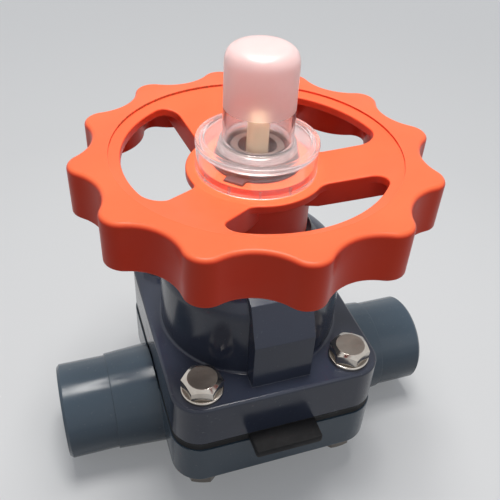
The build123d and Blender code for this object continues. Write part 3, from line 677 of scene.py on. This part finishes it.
def insert_rings(centre):
    """Rings of one insert, down its outside and up its tapped hole."""
    def ring(radius, height):
        return ring_at(radius, height, 48, centre)

    rings = [
        ring(0.5, INSERT_DEPTH), ring(INSERT_RADIUS - 0.4, INSERT_DEPTH), ring(INSERT_RADIUS, INSERT_DEPTH - 0.4),
        ring(INSERT_RADIUS, 0.3), ring(INSERT_RADIUS - 0.3, 0.0), ring(INSERT_BORE + 0.9, 0.0),
    ]
    steps = int(TAP_END / INSERT_PITCH * 6)
    for step in range(1, steps):
        z = step * INSERT_PITCH / 6
        deep = TAP_DEPTH * min(1.0, (TAP_FADES - z) / 1.5)
        groove = thread_radius(INSERT_BORE + deep, deep, INSERT_PITCH, z)
        rings.append(ring(lambda a: max(groove(a), INSERT_BORE + 0.8 - z), z))
    rings += [ring(INSERT_BORE, BORE_END), ring(0.5, BORE_END)]
    return rings


tapped_inserts = piece_from_rings(
    "tapped_inserts", [(insert_rings((0.0, side * INSERT_Y)), False) for side in (-1, 1)], brass, 28.0
)
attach(tapped_inserts, "valve_housing")
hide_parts("mounting_inserts")

# %% Ivory indicator pin
PIN_LOW, PIN_TOP, PIN_FOOT_RADIUS, PIN_RADIUS = 135.3, 190.9, 3.0, 4.9
pin_outline = soften(
    [
        (0.4, PIN_LOW), (PIN_FOOT_RADIUS, PIN_LOW), (PIN_FOOT_RADIUS, SPINDLE_TOP), (PIN_RADIUS, SPINDLE_TOP),
        (PIN_RADIUS - 0.15, PIN_TOP), (1.3, PIN_TOP), (1.1, PIN_TOP - 0.3), (0.3, PIN_TOP - 0.3),
    ],
    [0, 0.4, 0.2, 0.3, 1.6, 0.2, 0.2, 0], 6, closed=False,
)
ivory_pin = turned("ivory_pin", pin_outline, ivory_plastic, 64, closed=False)
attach(ivory_pin, "spindle_group")
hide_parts("position_indicator")

# %% [markdown]
# ## Lock ring and tab washer
# Under the clear cap a bright conical ring nut clamps the wheel on its bush. Below it lies a dark washer with one
# tab, which keeps the nut from turning loose. The ring is turned from an outline. The washer is stamped: a flat ring
# whose outer radius runs out to the tab's straight sides and end, with a rolled upper edge.

# %% Conical ring nut
RING_LOW, RING_LIP, RING_TOP = 171.3, 176.2, 178.5
RING_BORE, RING_FOOT, RING_RECESS = 11.85, 18.8, 3.2
ring_outline = soften(
    [
        (RING_BORE, RING_LOW), (RING_FOOT, RING_LOW), (RING_FOOT, RING_LOW + 1.3),
        (17.5, RING_LIP - 0.3), (17.75, RING_LIP), (17.35, RING_LIP + 0.5),
        (15.6, RING_TOP - 0.15), (15.0, RING_TOP), (14.4, RING_TOP - 0.15),
        (13.7, RING_TOP - RING_RECESS), (RING_BORE, RING_TOP - RING_RECESS),
    ],
    [0.2, 0.5, 0.4, 0.15, 0.2, 0.3, 0.4, 0.4, 0.4, 0.6, 0.2], 4,
)
turned_ring = turned("turned_lock_ring", ring_outline, bright_ring, 128)
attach(turned_ring, "wheel_group")
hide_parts("lock_ring")

# %% Tab washer
WASHER_LOW, WASHER_TOP, WASHER_BORE, WASHER_RADIUS = 170.1, 171.3, 12.05, 19.4
TAB_ANGLE, TAB_HALF_WIDTH, TAB_TIP = math.radians(-134.0), 4.5, 22.8


def washer_reach(inset):
    """Outer radius of the washer as a function of the angle, drawn in by an inset."""
    def reach(angle):
        off = abs((angle - TAB_ANGLE + math.pi) % (2 * math.pi) - math.pi)
        if off > 1.0:
            return WASHER_RADIUS - inset
        end = (TAB_TIP - inset) / math.cos(off)
        side = (TAB_HALF_WIDTH - inset) / max(math.sin(off), 1e-9)
        corner = math.hypot(TAB_TIP - inset - 0.6, TAB_HALF_WIDTH - inset - 0.6) + 0.6
        return max(WASHER_RADIUS - inset, min(end, side, corner))
    return reach


washer_levels = [
    (WASHER_BORE, WASHER_LOW), (washer_reach(0.1), WASHER_LOW), (washer_reach(0.0), WASHER_LOW + 0.15),
    (washer_reach(0.0), WASHER_TOP - 0.5), (washer_reach(0.15), WASHER_TOP - 0.15),
    (washer_reach(0.5), WASHER_TOP), (WASHER_BORE, WASHER_TOP),
]
washer_rings = [ring_at(radius, height, 360) for radius, height in washer_levels]
tab_washer = piece_from_rings("tab_washer", [(washer_rings, True)], dark_steel, 40.0)
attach(tab_washer, "wheel_group")
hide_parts("lock_washer")

# %% [markdown]
# ## Clear cap
# The cap has a low skirt with a bead at its foot, a shoulder with a raised rim, and a tall dome. It is one wall of
# nearly even thickness, turned from an outline that starts at the apex, runs down the inside and comes up the
# outside. Its two ends are closed with a small disc each, so that no hole is left at the apex. Twelve short ribs
# inside the skirt hold it on the hub. They show as fine upright lines.

# %% Wall of the cap
CAP_LOW, CAP_RADIUS, SHOULDER_Z, DOME_RADIUS, DOME_TOP = 166.55, 27.2, 180.75, 15.5, 221.75
APEX_RADIUS, APEX_WALL, DOME_INSIDE, SKIRT_INSIDE = 0.25, 1.4, 14.0, 25.6
cap_outline = soften(
    [
        (APEX_RADIUS, DOME_TOP - APEX_WALL), (DOME_INSIDE, DOME_TOP - APEX_WALL),
        (DOME_INSIDE + 0.1, SHOULDER_Z - 1.6), (SKIRT_INSIDE, SHOULDER_Z - 2.3), (SKIRT_INSIDE - 0.1, CAP_LOW),
        (CAP_RADIUS, CAP_LOW), (CAP_RADIUS, CAP_LOW + 1.5), (CAP_RADIUS - 0.35, CAP_LOW + 2.1),
        (CAP_RADIUS - 0.35, SHOULDER_Z - 2.6), (CAP_RADIUS, SHOULDER_Z - 2.1), (CAP_RADIUS, SHOULDER_Z),
        (CAP_RADIUS - 3.5, SHOULDER_Z), (CAP_RADIUS - 4.1, SHOULDER_Z - 0.6),
        (DOME_RADIUS, SHOULDER_Z - 0.1), (DOME_RADIUS - 0.1, DOME_TOP), (APEX_RADIUS, DOME_TOP),
    ],
    [0, 8.2, 0.8, 1.2, 0.5, 0.7, 0.4, 0.4, 0.4, 0.4, 1.6, 0.5, 0.4, 1.8, 9.5, 0], 10, closed=False,
)
cap_wall = turned("clear_cap_wall", cap_outline, cap_plastic, 144, closed=False)
cap_wall.visible_shadow = False
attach(cap_wall, "wheel_group")
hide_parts("indicator_cap")

# %% Ribs inside the skirt
RIBS, RIB_WIDTH, RIB_LOW, RIB_HIGH, RIB_IN = 12, 0.9, 166.6, 169.9, 24.75


def rib_rings(angle):
    """A small upright rib with a slanted top, as a stack of four-cornered rings."""
    rings = []
    for z, inner in ((RIB_LOW, RIB_IN), (RIB_HIGH - 0.6, RIB_IN), (RIB_HIGH, RIB_IN + 0.5)):
        corners = []
        for reach, side in ((inner, -1), (SKIRT_INSIDE, -1), (SKIRT_INSIDE, 1), (inner, 1)):
            across = side * RIB_WIDTH / 2
            x = reach * math.cos(angle) - across * math.sin(angle)
            y = reach * math.sin(angle) + across * math.cos(angle)
            corners.append((x, y, z))
        rings.append(corners)
    return rings


rib_shells = [(rib_rings(2 * math.pi * (k + 0.5) / RIBS), False) for k in range(RIBS)]
cap_ribs = piece_from_rings("clear_cap_ribs", rib_shells, cap_plastic)
cap_ribs.visible_shadow = False
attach(cap_ribs, "wheel_group")

# %% [markdown]
# ## Rubber diaphragm
# The sheet is a flat rounded plate between the flanges whose middle hangs down as a bowl and lies on the weir. Its
# edge is a little waisted where the flanges squeeze it, and a tab sticks out at the front. As a mesh it is rings
# again, which go from circles in the bowl to the rounded rectangle of the flange. The four bolt holes and the tab are
# cut and joined with boolean modifiers. When the valve opens, the bowl is pulled up and the plate stays.

# %% Rings of the rubber sheet
PLATE_X, PLATE_Y, PLATE_CORNER = 52.1, 58.8, 14.3
PLATE_LOW, PLATE_HIGH = 49.9, 54.9
BOWL_Z, BOWL_LOW_RADIUS, BOWL_TOP_RADIUS = 63.396, 32.6, 28.6
BOSS_RADIUS, BOSS_LOW, BOSS_TOP = 9.0, 37.6, 40.8
STUD_RADIUS, STUD_LOW = 4.3, 38.5
BOWL_EDGE_LOW, BOWL_EDGE_TOP = 29.9, 27.8
SHEET_COUNT = 176


def plate_reach(inset):
    """Distance from the middle to the edge of the rounded plate, as a function of the angle."""
    half_x, half_y, corner = PLATE_X - inset, PLATE_Y - inset, PLATE_CORNER - inset

    def reach(angle):
        across, along = abs(math.cos(angle)), abs(math.sin(angle))
        far = min(half_x / max(across, 1e-9), half_y / max(along, 1e-9))
        corner_x, corner_y = half_x - corner, half_y - corner
        if far * across > corner_x and far * along > corner_y:
            middle = across * corner_x + along * corner_y
            far = middle + math.sqrt(middle ** 2 - (corner_x ** 2 + corner_y ** 2 - corner ** 2))
        return far

    return reach


def towards_plate(circle, inset, share):
    """A ring between a circle and the edge of the plate."""
    edge = plate_reach(inset)
    return lambda angle: circle + (edge(angle) - circle) * share


def bowl_height(ball, radius):
    """Height of the bowl, which is cut from a ball, at a radius."""
    return BOWL_Z - math.sqrt(ball ** 2 - radius ** 2)


sheet_path = [(0.5, bowl_height(BOWL_LOW_RADIUS, 0.5))]
sheet_path += [
    (r, bowl_height(BOWL_LOW_RADIUS, r)) for r in (4, 8, 12, 15, 18, 20.5, 22.5, 24.5, 26, 27.3, 28.4, 29.2)
]
sheet_path += [
    (BOWL_EDGE_LOW, PLATE_LOW), (towards_plate(30.0, 1.0, 0.5), PLATE_LOW), (plate_reach(1.0), PLATE_LOW),
    (plate_reach(0.45), PLATE_LOW + 0.12), (plate_reach(0.1), PLATE_LOW + 0.6), (plate_reach(0.2), PLATE_LOW + 1.4),
    (plate_reach(0.45), PLATE_LOW + 2.5), (plate_reach(0.2), PLATE_HIGH - 1.4), (plate_reach(0.1), PLATE_HIGH - 0.6),
    (plate_reach(0.45), PLATE_HIGH - 0.12), (plate_reach(1.0), PLATE_HIGH),
]
sheet_path += [(towards_plate(BOWL_EDGE_TOP, 1.0, 0.5), PLATE_HIGH), (BOWL_EDGE_TOP, PLATE_HIGH)]
sheet_path += [(r, bowl_height(BOWL_TOP_RADIUS, r)) for r in (27.0, 26, 24.5, 22.5, 20, 17, 14, 11.5, 10.0)]
sheet_path += [
    (BOSS_RADIUS, BOSS_LOW), (BOSS_RADIUS, BOSS_TOP - 0.5), (BOSS_RADIUS - 0.5, BOSS_TOP),
    (STUD_RADIUS, BOSS_TOP), (STUD_RADIUS, STUD_LOW), (0.5, STUD_LOW),
]
sheet_rings = [ring_at(radius, height, SHEET_COUNT) for radius, height in sheet_path]
rubber_sheet = piece_from_rings("rubber_diaphragm", [(sheet_rings, False)], membrane_rubber, 40.0)

# %% Tab and bolt holes
TAB_ROOT, TAB_END, TAB_REACH, TAB_THICK = 17.0, 16.8, 11.2, 4.4
front = -PLATE_Y
tab_corners = [
    (-TAB_ROOT, front + 3), (-TAB_ROOT, front), (-TAB_END, front - TAB_REACH),
    (TAB_END, front - TAB_REACH), (TAB_ROOT, front), (TAB_ROOT, front + 3),
]
tab_side = soften(tab_corners, [0, 0.6, 1.2, 1.2, 0.6, 0], 5)
tab_middle_y = front - TAB_REACH / 2


def tab_ring(inset, z):
    """The outline of the tab, drawn in by an inset, except at its root."""
    ring = []
    for x, y in tab_side:
        pull = 0.0 if y > front + 1 else inset
        ring.append((x - math.copysign(pull, x), y + (pull if y < tab_middle_y else 0.0), z))
    return ring


tab_levels = [(0.7, 0.0), (0.2, 0.15), (0.0, 0.7), (0.0, TAB_THICK - 0.7), (0.2, TAB_THICK - 0.15), (0.7, TAB_THICK)]
rubber_tab = piece_from_rings(
    "rubber_tab", [([tab_ring(inset, PLATE_LOW + 0.02 + rise) for inset, rise in tab_levels], False)], membrane_rubber
)
hole_shells = []
for side_x, side_y in BOLT_TURNS:
    place = (side_x * BOLT_X, side_y * BOLT_Y)
    hole_shells.append(([ring_at(HOLE_RADIUS, z, 40, place) for z in (PLATE_LOW - 1, PLATE_HIGH + 1)], False))
hole_cutter = piece_from_rings("hole_cutter", hole_shells, membrane_rubber)


def combined(target, tool, operation):
    """Runs one boolean on a mesh for good and removes the tool."""
    step = target.modifiers.new(operation, "BOOLEAN")
    step.object, step.operation, step.solver = tool, operation, "EXACT"
    result = bpy.data.meshes.new_from_object(target.evaluated_get(bpy.context.evaluated_depsgraph_get()))
    target.modifiers.clear()
    target.data = result
    bpy.data.objects.remove(tool)


combined(rubber_sheet, rubber_tab, "UNION")
combined(rubber_sheet, hole_cutter, "DIFFERENCE")
rubber_sheet.data.set_sharp_from_angle(angle=math.radians(40))
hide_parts("diaphragm")
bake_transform(rubber_sheet)
print("rubber sheet", len(rubber_sheet.data.polygons), "faces")

# %% [markdown]
# ## Floor and light
# The stage is a plain pale floor under one soft lamp that hangs nearly straight above the valve, and a weak second
# lamp at the front right. So the tops are bright and the fronts lie in shade, as in the photograph. The floor looks
# pale to the camera, in mirrors and through clear plastic, but gives back less light than it shows, so that it
# doesn't fill the shade. It also glows a little by itself, more so far from the valve, which keeps it pale in low
# views. A dim sky does the rest.

# %% Floor
FLOOR_LIGHTS, FLOOR_SHOWS, FLOOR_GLOWS = (0.14, 0.14, 0.145), (0.56, 0.57, 0.58), (0.95, 0.96, 0.97)
FLOOR_HALF, FLOOR_Z = 6.0, -0.2 * MM
NEAR_GLOW, FAR_GLOW, GLOW_FROM, GLOW_FULL = 0.17, 0.55, 0.35, 1.6


def background_seen(tree):
    """1 for rays that show the background: straight to the camera, mirrored, or through clear plastic."""
    path = add(tree, "ShaderNodeLightPath")
    seen = calculate(tree, "MAXIMUM", path.outputs["Is Camera Ray"], path.outputs["Is Glossy Ray"])
    return calculate(tree, "MAXIMUM", seen, path.outputs["Is Transmission Ray"])


def floor_material():
    """A dull floor that looks pale, lights the valve weakly and glows more far away."""
    material, tree, shader = new_material("pale_floor")
    shown = background_seen(tree)
    tree.links.new(blend_colours(tree, shown, FLOOR_LIGHTS, FLOOR_SHOWS), shader.inputs["Base Color"])
    shader.inputs["Emission Color"].default_value = (*FLOOR_GLOWS, 1.0)
    reach = add(tree, "ShaderNodeVectorMath", {0: place_of(tree)}, operation="LENGTH")
    glow = between(tree, reach.outputs["Value"], NEAR_GLOW, FAR_GLOW, GLOW_FROM, GLOW_FULL)
    tree.links.new(calculate(tree, "MULTIPLY", shown, glow), shader.inputs["Emission Strength"])
    shader.inputs["Roughness"].default_value = 0.9
    shader.inputs["Specular IOR Level"].default_value = 0.1
    return material


floor_mesh = bpy.data.meshes.new("floor")
corners = [(sx * FLOOR_HALF, sy * FLOOR_HALF, FLOOR_Z) for sx, sy in ((-1, -1), (1, -1), (1, 1), (-1, 1))]
floor_mesh.from_pydata(corners, [], [(0, 1, 2, 3)])
floor_mesh.materials.append(floor_material())
floor = bpy.data.objects.new("floor", floor_mesh)
bpy.context.scene.collection.objects.link(floor)

# %% Lamps and sky
VALVE_MIDDLE = Vector((0, 0, 0.11))
SKY_LIGHTS, SKY_SHOWS = (0.22, 0.23, 0.25), (0.90, 0.91, 0.92)


def soft_lamp(name, place, side, watts, colour):
    """A square soft lamp that faces the middle of the valve."""
    lamp = bpy.data.lights.new(name, "AREA")
    lamp.shape = "SQUARE"
    lamp.size = side
    lamp.energy = watts
    lamp.color = colour
    holder = bpy.data.objects.new(name, lamp)
    holder.location = place
    holder.rotation_mode = "QUATERNION"
    holder.rotation_quaternion = (Vector(place) - VALVE_MIDDLE).to_track_quat("Z", "Y")
    bpy.context.scene.collection.objects.link(holder)


soft_lamp("key_lamp", (0.02, 0.06, 0.88), 0.32, 6.0, (1.0, 0.98, 0.95))
soft_lamp("front_lamp", (0.30, -0.75, 0.55), 0.60, 0.5, (0.95, 0.97, 1.0))
world = bpy.data.worlds.new("studio")
world.use_nodes = True
background = world.node_tree.nodes["Background"]
sky = blend_colours(world.node_tree, background_seen(world.node_tree), SKY_LIGHTS, SKY_SHOWS)
world.node_tree.links.new(sky, background.inputs["Color"])
bpy.context.scene.world = world
bpy.context.scene.view_settings.view_transform = "Standard"
